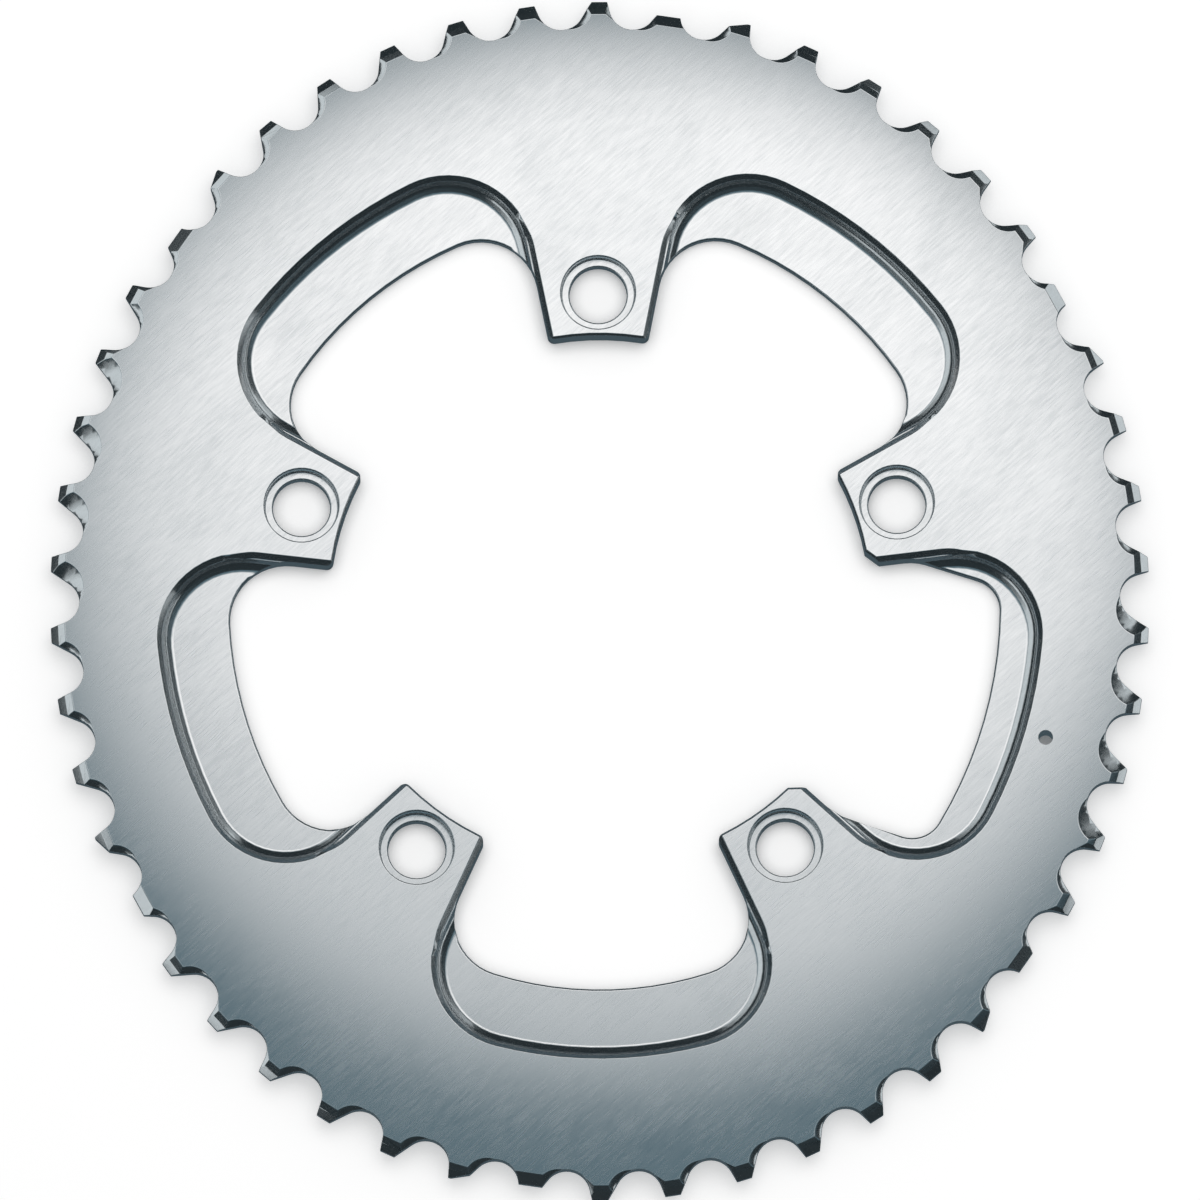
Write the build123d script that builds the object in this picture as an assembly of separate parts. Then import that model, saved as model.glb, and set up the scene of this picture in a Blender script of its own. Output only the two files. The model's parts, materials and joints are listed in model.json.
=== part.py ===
from build123d import *

import os
from math import atan2, cos, degrees, pi, radians, sin, tan

# Oval outer chainring for a five-arm crank, machined from one aluminium plate.
# Millimetres. The ring lies on its rear face at Z = 0 with its front face up.
# The origin is the centre of the bolt circle, and +Y is the long axis of the oval.

# Teeth and chain
tooth_count = 50
chain_pitch = 12.7
oval_ratio = 1.117         # long over short axis of the curve the rollers lie on
seat_radius = 4.12         # round seat of one roller
steep_flank = 16.8         # degrees from the middle of the gap, on its counter-clockwise side
easy_flank = 34.5          # the same on its clockwise side
tip_height = 1.0           # tooth tips outside the roller curve
tooth_thickness = 2.1
face_bevel_run = 1.2       # front bevel next to the face
face_bevel_angle = 22
tip_bevel_run = 1.3        # steeper front bevel that runs on to the tip
tip_bevel_angle = 33

# Teeth shaped for shifting, counted counter-clockwise from the +X axis over half a turn
gate_teeth = (4, 11, 19)   # cut short; the tooth before each one has a slanted tip
gate_drop = 1.8            # how far a gate tooth stays below the other tips
gate_bevel_run = 2.0
gate_bevel_angle = 30
slant_angle = 25
slant_start = 1.35         # clockwise of the middle of the tooth
eased_teeth = (5, 6, 7, 12, 13, 14, 20, 21)  # bevelled on the steep flank as well
eased_start = 28           # degrees from the steep flank down the seat to where that bevel begins
eased_lean = 37            # degrees between the front edge of that bevel and the flank
lead_in_angle = 28         # slope of the scooped bevel on the flanks
lead_in_radius = 4.12
lead_in_shift = 1.5        # from the middle of the gap towards the tooth that is bevelled
wide_teeth = (21, 22, 23, 24)
wide_lead_in_radius = 4.84
wide_lead_in_shift = 2.57

# Plate
plate_thickness = 4.5
shoulder_inset = 6.0       # rear shoulder inside the roller curve
shoulder_angle = 45

# Bolts and tabs
bolt_circle = 110
bolt_count = 5
bolt_hole = 10.1
counterbore = 13.0
counterbore_depth = 2.2
tab_width = 20.8           # across a tab at the bolt circle
tab_flare = 11.3           # degrees that each side of a tab opens outwards
tab_reach = 7.7            # from the bolt circle in to the end of a tab
tab_corner_radius = 1.2
edge_chamfer = 0.4         # front edge of the opening
side_bevel = 0.9           # wider bevel along both sides of a tab

# Windows between the tabs: a through opening with a sunken shelf outside it
pocket_reach_short = 22.45 # from the bolt circle out to the pocket wall, on the short axis
pocket_reach_long = 26.87  # the same on the long axis
shelf_width = 12.45
window_corner = 10.0
pocket_corner = 14.5
pocket_depth = 3.0
pocket_wall_run = 2.3      # the pocket wall is hollow-rounded from the face down to the shelf
pocket_wall_flats = 2      # flats that stand for that round

# The window that the crank arm passes, with room for the arm and its chain-drop pin
crank_window = 3
crank_shelf_width = 7.2
crank_slot_margin = 8.43   # from the middle of the next bolt hole to the side of the slot
crank_slot_corner = 5.5
crank_slot_ease = 9.0
crank_corner_cut = 2.2
pin_hole = 2.5
pin_margin = 4.3           # from the pocket wall out to the middle of the pin hole

clear = 1.0                # how far a cutter runs past the face it cuts


def on_oval(turn, half_x, half_y):
    """Point of an oval at a parameter angle."""
    return Vector(half_x * cos(turn), half_y * sin(turn))


def radius_of_oval(angle, half_x, half_y):
    """Distance from the centre to the oval in a direction given in degrees."""
    return 1 / ((cos(radians(angle)) / half_x) ** 2 + (sin(radians(angle)) / half_y) ** 2) ** 0.5


# Roller curve: the oval on which exactly tooth_count chords of one pitch close

def seat_turns(half_x):
    """Parameter angles of the rollers laid round the oval, one pitch apart."""
    half_y = half_x * oval_ratio
    turns = [0.0]
    for _ in range(tooth_count):
        last = on_oval(turns[-1], half_x, half_y)
        low = turns[-1]
        high = turns[-1] + pi / 2
        for _ in range(50):
            middle = (low + high) / 2
            if (on_oval(middle, half_x, half_y) - last).length < chain_pitch:
                low = middle
            else:
                high = middle
        turns.append(middle)
    return turns


round_radius = chain_pitch / (2 * sin(pi / tooth_count))
smallest = round_radius / oval_ratio
largest = round_radius * oval_ratio
for _ in range(50):
    pitch_x = (smallest + largest) / 2
    if seat_turns(pitch_x)[-1] > 2 * pi:
        smallest = pitch_x
    else:
        largest = pitch_x
pitch_y = pitch_x * oval_ratio
rollers = [on_oval(turn, pitch_x, pitch_y) for turn in seat_turns(pitch_x)[:-1]]

# Every gap and tooth has a frame of its own: X clockwise along the chain, Y outwards

gap_frames = []
tooth_frames = []
for number, roller in enumerate(rollers):
    before = rollers[number - 1]
    after = rollers[(number + 1) % tooth_count]
    gap_frames.append(Plane(roller, x_dir=before - after, z_dir=(0, 0, 1)))
    tooth_frames.append(Plane((roller + after) / 2, x_dir=roller - after, z_dir=(0, 0, 1)))


# Blank: rear body and thinner tooth plate, both bounded by ovals

def oval(outset, height):
    """Flat oval a given distance outside the roller curve."""
    return Pos(0, 0, height) * Ellipse(pitch_x + outset, pitch_y + outset)


tooth_rear = plate_thickness - tooth_thickness
shoulder_run = tooth_rear / tan(radians(shoulder_angle))
rear_body = loft(
    [
        oval(-shoulder_inset - shoulder_run, 0).face(),
        oval(-shoulder_inset, tooth_rear).face(),
    ],
    ruled=True,
)
blank = rear_body + extrude(oval(tip_height + clear, tooth_rear), tooth_thickness)


# Windows

tab_end_radius = bolt_circle / 2 - tab_reach
tab_step = 360 / bolt_count
tab_angles = [90 + number * tab_step for number in range(bolt_count)]
window_angles = [angle + tab_step / 2 for angle in tab_angles]
side_slope = tab_step / 2 - tab_flare
pocket_x = bolt_circle / 2 + pocket_reach_short
pocket_y = bolt_circle / 2 + pocket_reach_long


def window_outline(angle, inset, corner):
    """Sector between two tabs, ended by an arc inside the pocket oval, corners rounded."""
    half_x = pocket_x - inset
    half_y = pocket_y - inset
    bolt = Vector(bolt_circle / 2, 0)
    ends = []
    for side in (-1, 1):
        start = bolt.rotate(Axis.Z, angle + side * tab_step / 2)
        start -= Vector(0, side * tab_width / 2).rotate(Axis.Z, angle + side * tab_step / 2)
        heading = Vector(1, 0).rotate(Axis.Z, angle + side * side_slope)
        # Where the side of the tab, a straight line, meets the oval
        a = (heading.X / half_x) ** 2 + (heading.Y / half_y) ** 2
        b = start.X * heading.X / half_x**2 + start.Y * heading.Y / half_y**2
        c = (start.X / half_x) ** 2 + (start.Y / half_y) ** 2 - 1
        ends.append(start + heading * ((b * b - a * c) ** 0.5 - b) * (1 / a))
    apex_offset = bolt_circle / 2 * sin(radians(tab_step / 2)) - tab_width / 2 * cos(radians(tab_step / 2))
    apex_along = bolt_circle / 2 * cos(radians(tab_step / 2)) + tab_width / 2 * sin(radians(tab_step / 2))
    apex = Vector(apex_along - apex_offset / tan(radians(side_slope)), 0).rotate(Axis.Z, angle)
    crown = Vector(radius_of_oval(angle, half_x, half_y), 0).rotate(Axis.Z, angle)
    outline = make_face(
        [
            Line(apex, ends[0]),
            ThreePointArc(ends[0], crown, ends[1]),
            Line(ends[1], apex),
        ]
    )
    return fillet(outline.vertices(), corner) if corner else outline


def corners_outwards(outline):
    """The corners of a flat outline, from the middle of the ring outwards."""
    return sorted(outline.vertices(), key=lambda corner: corner.center().length)


crank_angle = window_angles[crank_window]
crank_slot_width = 2 * (bolt_circle / 2 * sin(radians(tab_step / 2)) - crank_slot_margin)
crank_slot = Rot(0, 0, crank_angle) * Pos(pocket_y, 0) * Rectangle(2 * pocket_y, crank_slot_width)
crank_opening = window_outline(crank_angle, crank_shelf_width, 0) & crank_slot
# The outermost corners are two at the rim, and before them two shoulders on the tabs
crank_opening = fillet(corners_outwards(crank_opening)[-4:-2], crank_slot_ease)
crank_opening = fillet(corners_outwards(crank_opening)[-2:], crank_slot_corner)

opening = Sketch() + Circle(tab_end_radius)
for number, angle in enumerate(window_angles):
    if number == crank_window:
        opening += crank_opening
    else:
        opening += window_outline(angle, shelf_width, window_corner)


def angle_from_crank(corner):
    """How far round the ring a corner lies from the crank arm, in degrees."""
    place = corner.center()
    turn = degrees(atan2(place.Y, place.X)) - crank_angle
    return abs((turn + 180) % 360 - 180)


tab_corners = [
    corner
    for corner in opening.vertices()
    if abs(corner.center().length - tab_end_radius) < edge_chamfer
]
cut_corners = sorted(tab_corners, key=angle_from_crank)[:2]
opening = chamfer(cut_corners, crank_corner_cut)
tab_corners = [
    corner
    for corner in opening.vertices()
    if abs(corner.center().length - tab_end_radius) < edge_chamfer
    and angle_from_crank(corner) > tab_step / 2
]
opening = fillet(tab_corners, tab_corner_radius)

ring = blank - extrude(opening, plate_thickness)
front_face = ring.faces().sort_by(Axis.Z)[-1]
ring = chamfer(front_face.inner_wires()[0].edges(), edge_chamfer)

pockets = []
side_bevels = []
for angle in window_angles:
    outline = window_outline(angle, 0, pocket_corner)
    sections = [Pos(0, 0, plate_thickness + clear) * outline]
    for step in range(pocket_wall_flats + 1):
        turn = step * pi / 2 / pocket_wall_flats
        inset = pocket_wall_run * (1 - cos(turn))
        section = offset(outline, -inset) if step else outline
        sections.append(Pos(0, 0, plate_thickness - pocket_depth * sin(turn)) * section)
    pockets.append(loft([section.face() for section in sections], ruled=True))
    side_outline = window_outline(angle, shelf_width / 2, window_corner)
    side_floor = Pos(0, 0, plate_thickness - side_bevel) * side_outline
    side_bevels.append(extrude(side_floor, side_bevel + clear, taper=-45))
ring -= side_bevels
ring -= pockets


# Bolt holes, each with a seat for the bolt head, and the hole for the chain-drop pin

seat_height = plate_thickness - counterbore_depth
bolt_cutter = Pos(0, 0, plate_thickness / 2) * Cylinder(bolt_hole / 2, plate_thickness + 2 * clear)
bolt_cutter += Pos(0, 0, seat_height + plate_thickness / 2) * Cylinder(counterbore / 2, plate_thickness)
for angle in tab_angles:
    ring -= Rot(0, 0, angle) * Pos(bolt_circle / 2, 0) * bolt_cutter

pin_radius = radius_of_oval(crank_angle, pocket_x, pocket_y) + pin_margin
pin_place = Rot(0, 0, crank_angle) * Pos(pin_radius, 0, plate_thickness / 2)
ring -= pin_place * Cylinder(pin_hole / 2, plate_thickness + 2 * clear)


# Gaps between the teeth

def gap_outline():
    """Roller seat with a straight flank each side, open outwards."""
    reach = 2 * seat_radius + tip_height
    edges = []
    feet = []
    tops = []
    for side, slope in ((-1, radians(steep_flank)), (1, radians(easy_flank))):
        foot = Vector(side * seat_radius * cos(slope), -seat_radius * sin(slope))
        feet.append(foot)
        tops.append(foot + Vector(side * sin(slope), cos(slope)) * reach)
    edges.append(Line(tops[0], feet[0]))
    edges.append(ThreePointArc(feet[0], Vector(0, -seat_radius), feet[1]))
    edges.append(Line(feet[1], tops[1]))
    edges.append(Line(tops[1], tops[0]))
    return make_face(edges)


def lead_in(shift, radius):
    """Shallow cone beside the middle of a gap that scoops the front of a flank."""
    slope = tan(radians(lead_in_angle))
    depth = radius * slope
    cone = Cone(clear / slope, radius + clear / slope, depth, align=(Align.CENTER, Align.CENTER, Align.MAX))
    return Pos(shift, 0, plate_thickness + clear) * cone


def steep_bevel():
    """Block that bevels the front of a steep flank along a line leaning away from it."""
    start = radians(steep_flank + eased_start)
    block = Box(seat_radius, 4 * seat_radius, seat_radius, align=Align.MIN)
    place = Pos(-seat_radius * cos(start), -seat_radius * sin(start), plate_thickness)
    return place * Rot(0, 0, steep_flank + eased_lean) * Rot(0, lead_in_angle, 0) * block


half_count = tooth_count // 2
gap_prism = extrude(gap_outline(), plate_thickness + clear)
cutters = []
for number, frame in enumerate(gap_frames):
    cutters.append(frame.location * gap_prism)
    # The tooth clockwise of a gap is bevelled by the cone that reaches towards it
    if (number - 1) % half_count in wide_teeth:
        cutters.append(frame.location * lead_in(wide_lead_in_shift, wide_lead_in_radius))
    else:
        cutters.append(frame.location * lead_in(lead_in_shift, lead_in_radius))
    if number % half_count in eased_teeth:
        cutters.append(frame.location * steep_bevel())

# Tooth tips: a profile across the tooth, cut along the chain. Gate teeth are cut shorter.

def tip_cutter(level, bevels):
    """Cutter for one tip, with its front bevels from the tip inwards, each as run and angle."""
    depth = sum(run * tan(radians(angle)) for run, angle in bevels)
    corners = [(level, tooth_rear - clear)]
    corners.append((level, plate_thickness - depth))
    for run, angle in bevels:
        out, height = corners[-1]
        corners.append((out - run, height + run * tan(radians(angle))))
    corners.append((corners[-1][0], plate_thickness + clear))
    corners.append((level + chain_pitch, plate_thickness + clear))
    corners.append((level + chain_pitch, tooth_rear - clear))
    profile = Plane.YZ * make_face(Polyline(*corners, close=True))
    return extrude(profile, chain_pitch / 2 - clear, both=True)


chord_sag = chain_pitch / 2 * tan(pi / tooth_count / 2)
tip_level = tip_height + chord_sag
full_tip = tip_cutter(tip_level, [(tip_bevel_run, tip_bevel_angle), (face_bevel_run, face_bevel_angle)])
gate_tip = tip_cutter(tip_level - gate_drop, [(gate_bevel_run, gate_bevel_angle)])
slant_block = Box(
    chain_pitch, chain_pitch, 2 * plate_thickness, align=(Align.CENTER, Align.MIN, Align.CENTER)
)
slant_cutter = Pos(slant_start, tip_level, plate_thickness / 2) * Rot(0, 0, slant_angle) * slant_block
for number, frame in enumerate(tooth_frames):
    tooth = number % half_count
    cutters.append(frame.location * (gate_tip if tooth in gate_teeth else full_tip))
    if tooth + 1 in gate_teeth:
        cutters.append(frame.location * slant_cutter)
ring -= cutters

chainring = ring.solid()
chainring.label = "chainring"
os.makedirs("parts", exist_ok=True)
export_step(chainring, "parts/chainring.step")

print("roller curve half axes %.3f and %.3f" % (pitch_x, pitch_y))
print("solids %d, volume %.1f mm3" % (len(ring.solids()), chainring.volume))
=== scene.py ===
# %% [markdown]
# # An oval chainring in satin aluminium
#
# The chainring is one machined plate: a rim with fifty teeth, five bolt tabs and five stepped
# windows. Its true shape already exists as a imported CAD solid, so this lesson doesn't model it
# again. It loads the solid as a fixed frame, chamfers the pockets and breaks the knife-sharp
# edges of a copy, gives that copy its two metal finishes, and then lights and frames it.

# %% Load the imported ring
import json
from math import cos, hypot, pi, radians, sin, tan

import bmesh
import bpy
from mathutils import Matrix, Vector


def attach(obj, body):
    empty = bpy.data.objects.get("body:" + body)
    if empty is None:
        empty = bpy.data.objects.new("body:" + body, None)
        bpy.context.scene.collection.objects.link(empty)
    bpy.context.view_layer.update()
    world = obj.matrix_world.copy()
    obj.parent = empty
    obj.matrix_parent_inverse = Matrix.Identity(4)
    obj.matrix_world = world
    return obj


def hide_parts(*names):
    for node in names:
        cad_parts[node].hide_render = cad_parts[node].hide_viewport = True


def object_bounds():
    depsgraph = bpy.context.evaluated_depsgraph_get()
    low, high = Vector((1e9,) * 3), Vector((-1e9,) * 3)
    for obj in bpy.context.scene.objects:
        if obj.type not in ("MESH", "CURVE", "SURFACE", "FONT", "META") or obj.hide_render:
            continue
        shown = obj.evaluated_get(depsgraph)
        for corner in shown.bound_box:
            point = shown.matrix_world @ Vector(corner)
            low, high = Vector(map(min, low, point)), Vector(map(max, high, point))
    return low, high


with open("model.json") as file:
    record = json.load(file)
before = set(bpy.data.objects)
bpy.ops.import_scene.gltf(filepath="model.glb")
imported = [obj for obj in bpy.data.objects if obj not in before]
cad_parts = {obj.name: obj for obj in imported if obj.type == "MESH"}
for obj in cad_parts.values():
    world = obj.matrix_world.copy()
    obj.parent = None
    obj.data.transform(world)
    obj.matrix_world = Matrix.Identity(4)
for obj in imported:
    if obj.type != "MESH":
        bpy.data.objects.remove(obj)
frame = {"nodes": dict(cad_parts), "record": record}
cad_ring = frame["nodes"]["chainring"]
cad_box = [list(map(float, corner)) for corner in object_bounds()]
half_width, half_length, plate_top = cad_box[1]
print("CAD ring:", len(cad_ring.data.polygons), "triangles, box", cad_box)

# %% [markdown]
# ## One closed mesh from loose triangles
#
# A CAD mesh comes in as loose triangles that share no points, so no modifier can see which
# edges are sharp. A copy is merged into one closed skin. Limited Dissolve then removes the
# lines between triangles that lie in one plane, so that flat faces become single faces.

# %% Merge a copy
MERGE_DISTANCE = 2e-6
FLAT_ANGLE = radians(0.4)

ring_mesh = cad_ring.data.copy()
ring_mesh.materials.clear()
skin = bmesh.new()
skin.from_mesh(ring_mesh)
bmesh.ops.remove_doubles(skin, verts=skin.verts, dist=MERGE_DISTANCE)
bmesh.ops.dissolve_limit(skin, angle_limit=FLAT_ANGLE, verts=skin.verts, edges=skin.edges)
open_edges = [edge for edge in skin.edges if not edge.is_manifold]
print("merged skin:", len(skin.faces), "faces,", len(open_edges), "open edges")

# %% [markdown]
# ## The mouth of the pockets
#
# Each window has a pocket round it, and the pocket's mouth has a chamfer that runs on from the
# bevelled sides of the bolt tabs. The solid has the pocket's wall as a steep flat without it. A
# Bevel modifier cuts both sides of an edge alike, so this chamfer is made by hand: the steep
# flat is cut level, and the points of the mouth move outwards. Past each end of the mouth the
# shift fades out, while the bevel of the tab grows.

# %% Find the steep flats of the pockets
SHELF_HEIGHT = 0.0015
HOLLOW_MIDDLE = 0.00238
LEVEL_SLACK = 3e-5
LEVEL_FACING = 0.99
STEEP_FACING = (0.15, 0.5)


def near(height, wanted):
    """True where two heights are the same but for rounding."""
    return abs(height - wanted) < LEVEL_SLACK


def is_steep_flat(face):
    """True for the faces of a pocket wall between the front face and the middle of the hollow."""
    heights = [point.co.z for point in face.verts]
    spans = near(max(heights), plate_top) and near(min(heights), HOLLOW_MIDDLE)
    return spans and STEEP_FACING[0] < face.normal.z < STEEP_FACING[1]


def leaves_mouth(point):
    """True where a sloping face other than the steep flats begins."""
    others = [face for face in point.link_faces if face not in steep_flats]
    return any(face.normal.z < LEVEL_FACING for face in others)


steep_flats = {face for face in skin.faces if is_steep_flat(face)}
flat_points = {point for face in steep_flats for point in face.verts}
mouth = {point for point in flat_points if near(point.co.z, plate_top)}
mouth_ends = [point for point in mouth if leaves_mouth(point)]
print("steep flats:", len(steep_flats), "mouth points:", len(mouth), "ends:", len(mouth_ends))

# %% Plan how far each point of the mouth moves
MOUTH_RUN = 0.00062
MOUTH_FADE = 0.0022


def away_from_pocket(point):
    """Level direction from the pocket into the front face."""
    total = Vector((0, 0, 0))
    for face in point.link_faces:
        if face.normal.z < LEVEL_FACING:
            total -= Vector((face.normal.x, face.normal.y, 0)).normalized()
    return total.normalized()


def next_on_outline(point, before):
    """The next point round the front face after the end of a mouth."""
    for edge in point.link_edges:
        other = edge.other_vert(point)
        low, high = sorted(face.normal.z for face in edge.link_faces)
        if low < LEVEL_FACING < high and other is not before and other not in mouth:
            return other
    return None


shifts = {point: MOUTH_RUN * away_from_pocket(point) for point in mouth}
for end in mouth_ends:
    point, before, reach = end, None, 0.0
    while point and reach < MOUTH_FADE:
        onward = next_on_outline(point, before)
        if onward:
            reach += (onward.co - point.co).length
            share = max(1 - reach / MOUTH_FADE, 0)
            shifts[onward] = MOUTH_RUN * share * away_from_pocket(onward)
        point, before = onward, point
print("points to move:", len(shifts))

# %% [markdown]
# Smooth shading blends the light over every face that it joins. Extra level cuts on both sides
# of a bend hold the blend in a narrow strip, so that the flats beside it stay flat.

# %% Cut the flats and move the mouth
MOUTH_DEPTH = 0.00085
WALL_FACING = (0.1, 0.97)
WALL_REACH = 0.85

mouth_foot = plate_top - MOUTH_DEPTH
hold_heights = (
    mouth_foot + 0.00012,
    mouth_foot - 0.00018,
    HOLLOW_MIDDLE + 0.00025,
    HOLLOW_MIDDLE - 0.0003,
    SHELF_HEIGHT + 0.0003,
)


def cut_level(faces, height):
    """Cut faces along a level plane."""
    edges = {edge for face in faces for edge in face.edges}
    points = {point for face in faces for point in face.verts}
    parts = [*faces, *edges, *points]
    bmesh.ops.bisect_plane(skin, geom=parts, plane_co=(0, 0, height), plane_no=(0, 0, 1))


def is_pocket_wall(face):
    """True for the sloping faces round the windows, away from the teeth."""
    centre = face.calc_center_median()
    reach = hypot(centre.x / half_width, centre.y / half_length)
    return WALL_FACING[0] < face.normal.z < WALL_FACING[1] and reach < WALL_REACH


cut_level(steep_flats, mouth_foot)
for point, shift in shifts.items():
    point.co += shift
skin.normal_update()
for height in hold_heights:
    cut_level([face for face in skin.faces if is_pocket_wall(face)], height)
skin.normal_update()
print("skin with pocket mouths:", len(skin.faces), "faces")

# %% [markdown]
# ## Broken edges
#
# No machined edge is a perfect corner. Deburring leaves a break of about a tenth of a
# millimetre, and the windows and bolt holes have a wider one. That narrow strip is what draws
# the thin line round every hole and tooth. It could be faked with a bump, but a Bevel modifier
# makes it real, so it also holds in the mesh. Each edge gets a weight first. The fine facets of
# round walls get none, and neither do the middle and the foot of the pocket walls, whose two
# flats stand for one hollow round.

# %% Tell the edges apart
HOLLOW_ANGLE = radians(60)
COUNTERBORE_REACH = 0.0068

bolts = frame["record"]["mounts"][0]["dims"]
bolt_step = 2 * pi / bolts["count"]
bolt_angles = [pi / 2 + bolt_step * number for number in range(bolts["count"])]
bolt_reach = bolts["pcd_mm"] / 2000
bolt_centres = [(bolt_reach * cos(angle), bolt_reach * sin(angle)) for angle in bolt_angles]


def level_at(edge, height):
    """True where both ends of an edge lie at a height."""
    return all(near(point.co.z, height) for point in edge.verts)


def in_hollow(edge):
    """True for the level lines on and under a pocket wall, which stand for rounds."""
    lines = (SHELF_HEIGHT, HOLLOW_MIDDLE, mouth_foot)
    return edge.calc_face_angle() < HOLLOW_ANGLE and any(level_at(edge, line) for line in lines)


def is_window_edge(edge):
    """True for the inner edge of a shelf."""
    return level_at(edge, SHELF_HEIGHT) and edge.calc_face_angle() > HOLLOW_ANGLE


def at_bolt_hole(edge):
    """True where both ends of an edge lie inside one counterbore."""
    return any(
        all(hypot(point.co.x - x, point.co.y - y) < COUNTERBORE_REACH for point in edge.verts)
        for x, y in bolt_centres
    )


print("bolt holes:", len(bolt_centres), "on a circle of", 2 * bolt_reach, "m")

# %% [markdown]
# A shelf ends in a sharp tip where the window runs into the pocket's wall. A wide break needs
# room there, so very short edges at the tips are merged away.

# %% Clear the tips of the shelves
SHORT_FOOT = 0.0007


def short_foot(tip):
    """The edge under the wall that is too short for the break of a window, or None."""
    for edge in tip.link_edges:
        on_foot = level_at(edge, SHELF_HEIGHT) and not is_window_edge(edge)
        if on_foot and edge.calc_length() < SHORT_FOOT:
            return edge
    return None


window_points = [point for edge in skin.edges if is_window_edge(edge) for point in edge.verts]
tips = [point for point in window_points if window_points.count(point) == 1]
cleared = 0
for tip in tips:
    foot = short_foot(tip)
    if foot:
        bmesh.ops.pointmerge(skin, verts=[tip, foot.other_vert(tip)], merge_co=tip.co)
        cleared += 1
print("shelf tips:", len(tips), "of which cleared:", cleared)

# %% Weigh the edges
EDGE_BREAK = 0.00009
WINDOW_BREAK = 0.00045
HOLE_BREAK = 0.0003
EDGE_ANGLE = radians(9.6)


def edge_break_of(edge):
    """How far one edge is broken, in metres."""
    if edge.calc_face_angle() < EDGE_ANGLE or in_hollow(edge):
        return 0
    if at_bolt_hole(edge):
        return HOLE_BREAK
    if is_window_edge(edge):
        return WINDOW_BREAK
    return EDGE_BREAK


weight = skin.edges.layers.float.new("bevel_weight_edge")
broken = 0
for edge in skin.edges:
    edge[weight] = edge_break_of(edge) / WINDOW_BREAK
    broken += edge[weight] > 0
skin.to_mesh(ring_mesh)
skin.free()
ring = bpy.data.objects.new("chainring_finished", ring_mesh)
bpy.context.collection.objects.link(ring)
print("edges to break:", broken)

# %% Bevel them
edge_break = ring.modifiers.new("edge break", "BEVEL")
edge_break.width = WINDOW_BREAK
edge_break.segments = 2
edge_break.limit_method = "WEIGHT"
edge_break.use_clamp_overlap = False
edge_break.loop_slide = False
edge_break.miter_outer = "MITER_SHARP"


def settle(piece):
    """Turn a piece and its modifiers into a plain mesh."""
    shape = piece.evaluated_get(bpy.context.evaluated_depsgraph_get())
    mesh = bpy.data.meshes.new_from_object(shape)
    piece.modifiers.clear()
    piece.data = mesh


bpy.context.view_layer.update()
settle(ring)
print("with broken edges:", len(ring.data.polygons), "faces")

# %% [markdown]
# ## Shared surface effects
#
# Both finishes carry the same two traces of work: fine straight lines from the last abrasive
# pass and a soft clouding where it cut a little more or less. Each is noise on Object
# coordinates, the lines being noise that is stretched ten times along one direction. A shader
# node group holds them once, and each material sets its own direction and fineness.

# %% Build the group of abrasive marks
MARK_INPUTS = (("Direction", 0.9), ("Lines per Metre", 3000.0), ("Clouds per Metre", 40.0))
LINE_STRETCH = (0.1, 1.0, 1.0)


def wire(tree, source, target):
    """Join an output socket to an input socket."""
    tree.links.new(source, target)


def node(tree, kind, **values):
    """Add a node and set its plain properties."""
    made = tree.nodes.new(kind)
    for name, value in values.items():
        setattr(made, name, value)
    return made


marks = bpy.data.node_groups.new("abrasive marks", "ShaderNodeTree")
for name, start in MARK_INPUTS:
    socket = marks.interface.new_socket(name, in_out="INPUT", socket_type="NodeSocketFloat")
    socket.default_value = start
for name in ("Lines", "Clouds"):
    marks.interface.new_socket(name, in_out="OUTPUT", socket_type="NodeSocketFloat")
marks_in = node(marks, "NodeGroupInput")
marks_out = node(marks, "NodeGroupOutput")
place = node(marks, "ShaderNodeTexCoord")
turn = node(marks, "ShaderNodeVectorRotate", rotation_type="Z_AXIS")
wire(marks, place.outputs["Object"], turn.inputs["Vector"])
wire(marks, marks_in.outputs["Direction"], turn.inputs["Angle"])
stretch = node(marks, "ShaderNodeMapping", vector_type="POINT")
stretch.inputs["Scale"].default_value = LINE_STRETCH
wire(marks, turn.outputs["Vector"], stretch.inputs["Vector"])
lines = node(marks, "ShaderNodeTexNoise")
lines.inputs["Detail"].default_value = 3.0
lines.inputs["Roughness"].default_value = 0.65
wire(marks, stretch.outputs["Vector"], lines.inputs["Vector"])
wire(marks, marks_in.outputs["Lines per Metre"], lines.inputs["Scale"])
wire(marks, lines.outputs["Fac"], marks_out.inputs["Lines"])
clouds = node(marks, "ShaderNodeTexNoise")
clouds.inputs["Detail"].default_value = 5.0
clouds.inputs["Roughness"].default_value = 0.6
clouds.inputs["Distortion"].default_value = 0.6
wire(marks, place.outputs["Object"], clouds.inputs["Vector"])
wire(marks, marks_in.outputs["Clouds per Metre"], clouds.inputs["Scale"])
wire(marks, clouds.outputs["Fac"], marks_out.inputs["Clouds"])
print("group:", marks.name, "with", len(marks.nodes), "nodes")

# %% [markdown]
# ## Two finishes of one metal
#
# The front face and the shelves are lapped: satin, slightly cloudy, with diagonal lines. Bevels,
# scoops and walls are left from the milling cutter, so they are smoother and mirror their
# surroundings more sharply. Both are the same metal, so both are a metallic Principled BSDF, and
# only roughness and the fine relief differ.

# %% Make helpers for values and colours
NOISE_RANGE = (0.3, 0.7)


def spread(tree, value, low, high):
    """Map a noise value from its usual range to the range low to high."""
    fit = node(tree, "ShaderNodeMapRange")
    fit.inputs["From Min"].default_value = NOISE_RANGE[0]
    fit.inputs["From Max"].default_value = NOISE_RANGE[1]
    fit.inputs["To Min"].default_value = low
    fit.inputs["To Max"].default_value = high
    wire(tree, value, fit.inputs["Value"])
    return fit.outputs["Result"]


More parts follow.
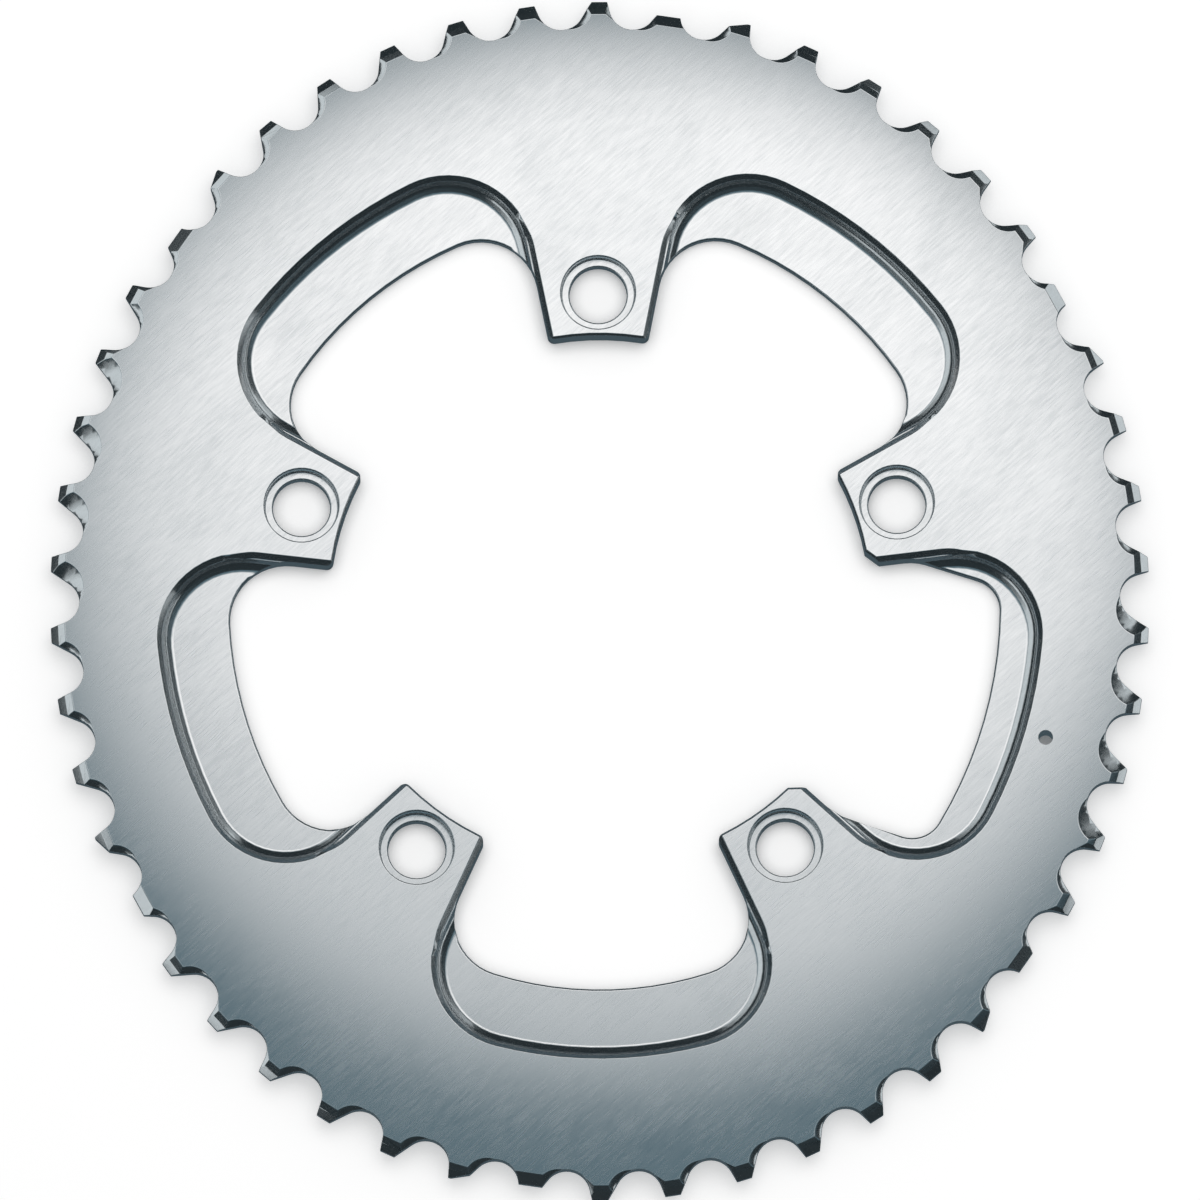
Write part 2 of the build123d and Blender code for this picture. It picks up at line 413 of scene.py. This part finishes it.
def blend_colours(tree, factor, low, high):
    """Mix two colours by a value."""
    mix = node(tree, "ShaderNodeMix", data_type="RGBA")
    ends = {"A_Color": low, "B_Color": high}
    for socket in mix.inputs:
        if socket.identifier in ends:
            socket.default_value = (*ends[socket.identifier], 1)
    wire(tree, factor, mix.inputs["Factor"])
    return next(socket for socket in mix.outputs if socket.type == "RGBA")


print("helpers: spread, blend_colours")

# %% [markdown]
# Lapping by hand wears the outside of a face a little more than its middle, so the mirror image
# in it bends near the teeth. The drop is far too slight to see as a shape. A Bump node gives it
# to the reflection only.

# %% Let the face fall off towards the teeth
RIM_START = 0.643
RIM_SLOPE = radians(11.7)
RIM_POWER = 2.9


def rim_fall(tree):
    """Height in metres of a face that is level inside and falls off towards the teeth."""
    place = node(tree, "ShaderNodeTexCoord")
    shrink = node(tree, "ShaderNodeMapping", vector_type="POINT")
    shrink.inputs["Scale"].default_value = (1 / half_width, 1 / half_length, 0)
    wire(tree, place.outputs["Object"], shrink.inputs["Vector"])
    reach = node(tree, "ShaderNodeVectorMath", operation="LENGTH")
    wire(tree, shrink.outputs["Vector"], reach.inputs[0])
    past = node(tree, "ShaderNodeMapRange")
    past.inputs["From Min"].default_value = RIM_START
    past.inputs["From Max"].default_value = 1.0
    wire(tree, reach.outputs["Value"], past.inputs["Value"])
    eased = node(tree, "ShaderNodeMath", operation="POWER")
    eased.inputs[1].default_value = RIM_POWER
    wire(tree, past.outputs["Result"], eased.inputs[0])
    rim_width = (1 - RIM_START) * (half_width + half_length) / 2
    drop = node(tree, "ShaderNodeMath", operation="MULTIPLY")
    drop.inputs[1].default_value = -tan(RIM_SLOPE) / RIM_POWER * rim_width
    wire(tree, eased.outputs["Value"], drop.inputs[0])
    return drop.outputs["Value"]


print("rim falls off from", RIM_START, "of the way out")

# %% Make the metals
MARK_DIRECTION = radians(-42)
LINE_SHARE = 0.6
DULL_METAL = (0.925, 0.935, 0.94)
BRIGHT_METAL = (0.98, 0.985, 0.99)


def metal(name, line_density, smooth, rough, relief, falls):
    """A milled or lapped aluminium with marks in one direction."""
    material = bpy.data.materials.new(name)
    material.use_nodes = True
    tree = material.node_tree
    shader = tree.nodes["Principled BSDF"]
    shader.inputs["Metallic"].default_value = 1.0
    worked = node(tree, "ShaderNodeGroup", node_tree=marks)
    worked.inputs["Direction"].default_value = MARK_DIRECTION
    worked.inputs["Lines per Metre"].default_value = line_density
    clouded = node(tree, "ShaderNodeMath", operation="MULTIPLY")
    clouded.inputs[1].default_value = 1 - LINE_SHARE
    wire(tree, worked.outputs["Clouds"], clouded.inputs[0])
    wear = node(tree, "ShaderNodeMath", operation="MULTIPLY_ADD")
    wear.inputs[1].default_value = LINE_SHARE
    wire(tree, worked.outputs["Lines"], wear.inputs[0])
    wire(tree, clouded.outputs["Value"], wear.inputs[2])
    gloss = spread(tree, wear.outputs["Value"], 0, 1)
    colour = blend_colours(tree, gloss, DULL_METAL, BRIGHT_METAL)
    wire(tree, colour, shader.inputs["Base Color"])
    wire(tree, spread(tree, wear.outputs["Value"], rough, smooth), shader.inputs["Roughness"])
    height = node(tree, "ShaderNodeMath", operation="MULTIPLY_ADD")
    height.inputs[1].default_value = relief
    height.inputs[2].default_value = 0.0
    wire(tree, worked.outputs["Lines"], height.inputs[0])
    if falls:
        wire(tree, rim_fall(tree), height.inputs[2])
    bump = node(tree, "ShaderNodeBump")
    bump.inputs["Strength"].default_value = 1.0
    bump.inputs["Distance"].default_value = 1.0
    wire(tree, height.outputs["Value"], bump.inputs["Height"])
    wire(tree, bump.outputs["Normal"], shader.inputs["Normal"])
    return material


lapped = metal(
    "lapped_aluminium", line_density=2400, smooth=0.15, rough=0.35, relief=0.000004, falls=True
)
milled = metal(
    "milled_aluminium", line_density=1500, smooth=0.16, rough=0.2, relief=0.000003, falls=False
)
print("metals:", lapped.name, milled.name)

# %% [markdown]
# ## Which face has which finish
#
# The rule is simple. What lies level and looks to the front was lapped, which takes in the front
# face and the shelves of the windows, and all else is milled. A second rule decides which edges
# shade softly: those that turn by little, because they only stand for a round. A Geometry Nodes
# tree writes both down with named inputs, so the limits can be tried by hand.

# %% Name the inputs of the finishing tree
FINISH_INPUTS = (
    ("Front Height", "NodeSocketFloat"),
    ("Level Limit", "NodeSocketFloat"),
    ("Soft Angle", "NodeSocketFloat"),
    ("Lapped", "NodeSocketMaterial"),
    ("Milled", "NodeSocketMaterial"),
)

finish = bpy.data.node_groups.new("finish by facing", "GeometryNodeTree")
finish.interface.new_socket("Geometry", in_out="INPUT", socket_type="NodeSocketGeometry")
finish_ids = {}
for name, kind in FINISH_INPUTS:
    socket = finish.interface.new_socket(name, in_out="INPUT", socket_type=kind)
    finish_ids[name] = socket.identifier
finish.interface.new_socket("Geometry", in_out="OUTPUT", socket_type="NodeSocketGeometry")
given = node(finish, "NodeGroupInput")
result = node(finish, "NodeGroupOutput")
print("finishing inputs:", ", ".join(finish_ids))

# %% Find the level faces at the front
normal = node(finish, "GeometryNodeInputNormal")
normal_parts = node(finish, "ShaderNodeSeparateXYZ")
wire(finish, normal.outputs["Normal"], normal_parts.inputs["Vector"])
is_level = node(finish, "FunctionNodeCompare", data_type="FLOAT", operation="GREATER_THAN")
wire(finish, normal_parts.outputs["Z"], is_level.inputs["A"])
wire(finish, given.outputs["Level Limit"], is_level.inputs["B"])
spot = node(finish, "GeometryNodeInputPosition")
spot_parts = node(finish, "ShaderNodeSeparateXYZ")
wire(finish, spot.outputs["Position"], spot_parts.inputs["Vector"])
is_front = node(finish, "FunctionNodeCompare", data_type="FLOAT", operation="GREATER_THAN")
wire(finish, spot_parts.outputs["Z"], is_front.inputs["A"])
wire(finish, given.outputs["Front Height"], is_front.inputs["B"])
is_lapped = node(finish, "FunctionNodeBooleanMath", operation="AND")
wire(finish, is_level.outputs["Result"], is_lapped.inputs[0])
wire(finish, is_front.outputs["Result"], is_lapped.inputs[1])
print("lapped faces: level and at the front")

# %% Set the finishes and the soft edges
all_milled = node(finish, "GeometryNodeSetMaterial")
wire(finish, given.outputs["Geometry"], all_milled.inputs["Geometry"])
wire(finish, given.outputs["Milled"], all_milled.inputs["Material"])
face_lapped = node(finish, "GeometryNodeSetMaterial")
wire(finish, all_milled.outputs["Geometry"], face_lapped.inputs["Geometry"])
wire(finish, is_lapped.outputs["Boolean"], face_lapped.inputs["Selection"])
wire(finish, given.outputs["Lapped"], face_lapped.inputs["Material"])
turned = node(finish, "GeometryNodeInputMeshEdgeAngle")
is_soft = node(finish, "FunctionNodeCompare", data_type="FLOAT", operation="LESS_THAN")
wire(finish, turned.outputs["Unsigned Angle"], is_soft.inputs["A"])
wire(finish, given.outputs["Soft Angle"], is_soft.inputs["B"])
soft_faces = node(finish, "GeometryNodeSetShadeSmooth", domain="FACE")
wire(finish, face_lapped.outputs["Geometry"], soft_faces.inputs["Geometry"])
soft_edges = node(finish, "GeometryNodeSetShadeSmooth", domain="EDGE")
wire(finish, soft_faces.outputs["Geometry"], soft_edges.inputs["Geometry"])
wire(finish, is_soft.outputs["Result"], soft_edges.inputs["Shade Smooth"])
wire(finish, soft_edges.outputs["Geometry"], result.inputs["Geometry"])
print("finishing tree:", len(finish.nodes), "nodes")

# %% Apply the finishes
UNDER_SHELF = 0.0005
LEVEL_LIMIT = 0.999
SOFT_ANGLE = radians(46)

finishing = ring.modifiers.new("finish by facing", "NODES")
finishing.node_group = finish
finishing[finish_ids["Front Height"]] = SHELF_HEIGHT - UNDER_SHELF
finishing[finish_ids["Level Limit"]] = LEVEL_LIMIT
finishing[finish_ids["Soft Angle"]] = SOFT_ANGLE
finishing[finish_ids["Lapped"]] = lapped
finishing[finish_ids["Milled"]] = milled
level_shading = ring.modifiers.new("level shading", "WEIGHTED_NORMAL")
level_shading.mode = "FACE_AREA"
level_shading.weight = 50
level_shading.keep_sharp = True
bpy.context.view_layer.update()
settle(ring)
counts = {material.name: 0 for material in ring.data.materials}
for face in ring.data.polygons:
    counts[ring.data.materials[face.material_index].name] += 1
print("faces per finish:", counts)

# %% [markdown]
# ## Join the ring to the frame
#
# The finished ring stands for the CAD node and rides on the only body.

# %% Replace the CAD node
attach(ring, "root")
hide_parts("chainring")
print("ring stands for chainring:", len(ring.data.vertices), "points")

# %% [markdown]
# ## Floor and background
#
# The ring lies on a pale floor and the background is white. The floor is lit like any surface
# and keeps the shadow. Rays from the camera or off the metal see it lifted to white, but not in
# the bottom of a narrow hole, where Ambient Occlusion takes the lift away.

# %% Lay the floor
FLOOR_HALF = 3.0
FLOOR_HEIGHT = -0.00005

floor_mesh = bpy.data.meshes.new("floor")
floor_signs = ((-1, -1), (1, -1), (1, 1), (-1, 1))
floor_corners = [(x * FLOOR_HALF, y * FLOOR_HALF, FLOOR_HEIGHT) for x, y in floor_signs]
floor_mesh.from_pydata(floor_corners, [], [(0, 1, 2, 3)])
floor = bpy.data.objects.new("floor", floor_mesh)
bpy.context.collection.objects.link(floor)
print("floor:", 2 * FLOOR_HALF, "m square")

# %% Cover it with pale paper
PAPER_COLOUR = (0.9, 0.9, 0.9, 1)
PAPER_LIFT = 0.42
HOLE_DEPTH = 0.0025


def seen_rays(tree):
    """1 for rays from the camera, off a mirror or through glass, else 0."""
    path = node(tree, "ShaderNodeLightPath")
    total = path.outputs["Is Camera Ray"]
    for name in ("Is Glossy Ray", "Is Transmission Ray"):
        larger = node(tree, "ShaderNodeMath", operation="MAXIMUM")
        wire(tree, total, larger.inputs[0])
        wire(tree, path.outputs[name], larger.inputs[1])
        total = larger.outputs["Value"]
    return total


paper = bpy.data.materials.new("pale_paper")
paper.use_nodes = True
paper_tree = paper.node_tree
paper_tree.nodes.remove(paper_tree.nodes["Principled BSDF"])
matt = node(paper_tree, "ShaderNodeBsdfDiffuse")
matt.inputs["Color"].default_value = PAPER_COLOUR
lift_level = node(paper_tree, "ShaderNodeMath", operation="MULTIPLY")
lift_level.inputs[1].default_value = PAPER_LIFT
wire(paper_tree, seen_rays(paper_tree), lift_level.inputs[0])
walled_in = node(paper_tree, "ShaderNodeAmbientOcclusion")
walled_in.inputs["Distance"].default_value = HOLE_DEPTH
open_lift = node(paper_tree, "ShaderNodeMath", operation="MULTIPLY")
wire(paper_tree, lift_level.outputs["Value"], open_lift.inputs[0])
wire(paper_tree, walled_in.outputs["AO"], open_lift.inputs[1])
lift = node(paper_tree, "ShaderNodeEmission")
wire(paper_tree, open_lift.outputs["Value"], lift.inputs["Strength"])
lit = node(paper_tree, "ShaderNodeAddShader")
wire(paper_tree, matt.outputs["BSDF"], lit.inputs[0])
wire(paper_tree, lift.outputs["Emission"], lit.inputs[1])
wire(paper_tree, lit.outputs["Shader"], paper_tree.nodes["Material Output"].inputs["Surface"])
floor_mesh.materials.append(paper)
print("floor covered with", paper.name)

# %% Fill the world
FILL_LEVEL = 0.5
SEEN_LEVEL = 1.0

world = bpy.data.worlds.new("white studio")
bpy.context.scene.world = world
world.use_nodes = True
sky = world.node_tree
background = sky.nodes["Background"]
background.inputs["Color"].default_value = (1, 1, 1, 1)
level = node(sky, "ShaderNodeMapRange")
level.inputs["To Min"].default_value = FILL_LEVEL
level.inputs["To Max"].default_value = SEEN_LEVEL
wire(sky, seen_rays(sky), level.inputs["Value"])
wire(sky, level.outputs["Result"], background.inputs["Strength"])
print("world: white where it is seen, dimmer as fill light")

# %% [markdown]
# ## Light
#
# Bare metal has no look of its own. It shows the studio, so a photographer shapes it with a
# large soft lamp and with cards that stand where a surface should turn dark. Here one area lamp
# hangs over the ring. It lights the floor, and reflections don't see it.

# %% Hang the lamp
LAMP_SIZE = (0.9, 0.7)
LAMP_POWER = 1.8
LAMP_PLACE = (0.12, 0.34, 0.8)

lamp_data = bpy.data.lights.new("overhead_softbox", "AREA")
lamp_data.shape = "RECTANGLE"
lamp_data.size, lamp_data.size_y = LAMP_SIZE
lamp_data.energy = LAMP_POWER
lamp = bpy.data.objects.new("overhead_softbox", lamp_data)
lamp.location = LAMP_PLACE
lamp.rotation_euler = (-lamp.location).to_track_quat("-Z", "Y").to_euler()
lamp.visible_glossy = False
bpy.context.collection.objects.link(lamp)
print("lamp:", LAMP_POWER, "W at", LAMP_PLACE)

# %% [markdown]
# ## Cards
#
# A card is a grid of points with an even glow of its own. Only reflections see it, so the floor
# stays bright. Black cards stand round the ring as patches of a sphere, given by their compass
# and height angles, with a grey wall behind the gaps between them.

# %% Make a card from a grid of points
def card(name, colour, at, columns=24, rows=6):
    """A card that only reflections see. at(u, v) gives its points for u and v from 0 to 1."""
    points = [at(u / columns, v / rows) for v in range(rows + 1) for u in range(columns + 1)]
    quads = []
    for row in range(rows):
        for column in range(columns):
            first = row * (columns + 1) + column
            quads.append((first, first + 1, first + columns + 2, first + columns + 1))
    mesh = bpy.data.meshes.new(name)
    mesh.from_pydata(points, [], quads)
    made = bpy.data.objects.new(name, mesh)
    bpy.context.collection.objects.link(made)
    felt = bpy.data.materials.new(name)
    felt.use_nodes = True
    tree = felt.node_tree
    tree.nodes.remove(tree.nodes["Principled BSDF"])
    glow = node(tree, "ShaderNodeEmission")
    glow.inputs["Color"].default_value = (*colour, 1)
    wire(tree, glow.outputs["Emission"], tree.nodes["Material Output"].inputs["Surface"])
    mesh.materials.append(felt)
    made.visible_camera = False
    made.visible_diffuse = False
    made.visible_transmission = False
    made.visible_shadow = False
    return made


print("helper: card")

# %% Stand the cards round the ring
CARD_DISTANCE = 1.5
WALL_DISTANCE = CARD_DISTANCE + 0.2
BLACK_FELT = (0.012, 0.018, 0.021)
GREY_PAPER = (0.55, 0.6, 0.62)


def between(ends, share):
    """The value that lies a share of the way from one end to the other."""
    return ends[0] + (ends[1] - ends[0]) * share


def standing_card(name, compass, height, colour=BLACK_FELT, distance=CARD_DISTANCE):
    """A patch of a sphere round the ring, from one compass and height angle to another."""

    def at(u, v):
        round_by = radians(between(compass, u))
        up = radians(between(height, v))
        away = distance * cos(up)
        return (away * cos(round_by), away * sin(round_by), distance * sin(up))

    return card(name, colour, at)


standing = [
    standing_card("front_card", (224, 335), (0, 78)),
    standing_card("front_left_card", (188, 224), (40, 70)),
    standing_card("right_card", (-25, 60), (27, 62)),
    standing_card("right_low_card", (-25, 60), (0, 9)),
    standing_card("back_card", (60, 115), (0, 62)),
    standing_card("left_card", (115, 224), (0, 26)),
    standing_card("grey_wall", (0, 360), (0, 62), GREY_PAPER, WALL_DISTANCE),
]
print("standing:", ", ".join(made.name for made in standing))

# %% [markdown]
# Two more cards are close to the ring. The left walls of the pockets mirror a screen that hangs
# at the right, and the upright walls of teeth and windows mirror a dark card on the floor.

# %% Hang a screen and lay a card on the floor
SCREEN_REACH = 0.165
SCREEN_COMPASS = (-50, 60)
SCREEN_HEIGHTS = (0.055, 0.09)
FLOOR_CARD_REACH = 0.4
FLOOR_CARD_HEIGHT = -0.00002
SLATE_FELT = (0.055, 0.08, 0.095)


def screen_at(u, v):
    """A point of an upright band round the right side of the ring."""
    round_by = radians(between(SCREEN_COMPASS, u))
    away = SCREEN_REACH
    return (away * cos(round_by), away * sin(round_by), between(SCREEN_HEIGHTS, v))


def floor_card_at(u, v):
    """A point of a square just over the floor."""
    return ((2 * u - 1) * FLOOR_CARD_REACH, (2 * v - 1) * FLOOR_CARD_REACH, FLOOR_CARD_HEIGHT)


card("right_screen", BLACK_FELT, screen_at)
card("floor_card", SLATE_FELT, floor_card_at)
print("screen at", SCREEN_REACH, "m, floor card of", 2 * FLOOR_CARD_REACH, "m")

# %% [markdown]
# ## Canopy
#
# The front face looks up, so it mirrors what hangs over it. A dark canopy has a soft oval opening
# above and behind the ring. The face shows the opening as its bright upper part, and the felt
# round the opening as its dark lower part.

# %% Hang a canopy with an oval opening
CANOPY_HEIGHT = 0.4035
OPENING_CENTRE = (0.034, 0.1595)
OPENING_HALF = (0.248, 0.144)
OPENING_SOFT = 0.825
CANOPY_CENTRE = (0.030, 0.090)
CANOPY_HALF = (0.450, 0.360)
BLUE_FELT = (0.085, 0.138, 0.166)


def oval_point(centre, half, angle):
    """A point of an oval at the height of the canopy."""
    x = centre[0] + half[0] * cos(angle)
    y = centre[1] + half[1] * sin(angle)
    return Vector((x, y, CANOPY_HEIGHT))


def canopy_at(u, v):
    """A point of the canopy, from the clear middle of its opening to its rim."""
    clear_half = [(1 - OPENING_SOFT) * half for half in OPENING_HALF]
    inner = oval_point(OPENING_CENTRE, clear_half, 2 * pi * u)
    outer = oval_point(CANOPY_CENTRE, CANOPY_HALF, 2 * pi * u)
    return inner.lerp(outer, v)


canopy = card("canopy", BLUE_FELT, canopy_at, columns=72, rows=24)
print("canopy:", len(canopy.data.polygons), "faces at", CANOPY_HEIGHT, "m")

# %% Let the canopy fade from white to felt
felt_tree = canopy.data.materials[0].node_tree
felt_place = node(felt_tree, "ShaderNodeTexCoord")
felt_oval = node(felt_tree, "ShaderNodeMapping", vector_type="TEXTURE")
felt_oval.inputs["Location"].default_value = (*OPENING_CENTRE, CANOPY_HEIGHT)
felt_oval.inputs["Scale"].default_value = (*OPENING_HALF, 1)
wire(felt_tree, felt_place.outputs["Object"], felt_oval.inputs["Vector"])
felt_reach = node(felt_tree, "ShaderNodeVectorMath", operation="LENGTH")
wire(felt_tree, felt_oval.outputs["Vector"], felt_reach.inputs[0])
felt_fade = node(felt_tree, "ShaderNodeMapRange", interpolation_type="SMOOTHSTEP")
felt_fade.inputs["From Min"].default_value = 1 - OPENING_SOFT
felt_fade.inputs["From Max"].default_value = 1 + OPENING_SOFT
wire(felt_tree, felt_reach.outputs["Value"], felt_fade.inputs["Value"])
felt_colour = blend_colours(felt_tree, felt_fade.outputs["Result"], (1, 1, 1), BLUE_FELT)
wire(felt_tree, felt_colour, felt_tree.nodes["Emission"].inputs["Color"])
print("canopy fades over", 2 * OPENING_SOFT, "of its opening")

# %% [markdown]
# ## Camera
#
# The photograph looks down at the ring from 78 degrees with a long lens, so that near and far
# teeth look alike. The camera stands far away with a focal length to match.

# %% Set the camera
CAMERA_HEIGHT_ANGLE = radians(78)
CAMERA_DISTANCE = 9.0
CAMERA_ROLL = radians(0.3)
CAMERA_CLIP = 40
SENSOR_WIDTH = 36
VIEW_WIDTH = 0.2107

aim = Vector((0.00005, -0.00032, plate_top))
camera_data = bpy.data.cameras.new("camera")
camera_data.sensor_fit = "HORIZONTAL"
camera_data.sensor_width = SENSOR_WIDTH
camera_data.lens = SENSOR_WIDTH * CAMERA_DISTANCE / VIEW_WIDTH
camera_data.clip_end = CAMERA_CLIP
camera = bpy.data.objects.new("camera", camera_data)
toward_camera = Vector((0, -cos(CAMERA_HEIGHT_ANGLE), sin(CAMERA_HEIGHT_ANGLE)))
camera.location = aim + CAMERA_DISTANCE * toward_camera
facing = toward_camera.to_track_quat("Z", "Y").to_matrix().to_4x4()
camera.rotation_euler = (facing @ Matrix.Rotation(-CAMERA_ROLL, 4, "Z")).to_euler()
bpy.context.collection.objects.link(camera)
bpy.context.scene.camera = camera
bpy.context.scene.view_settings.view_transform = "Standard"
print("camera: lens", round(camera_data.lens), "mm at", CAMERA_DISTANCE, "m")
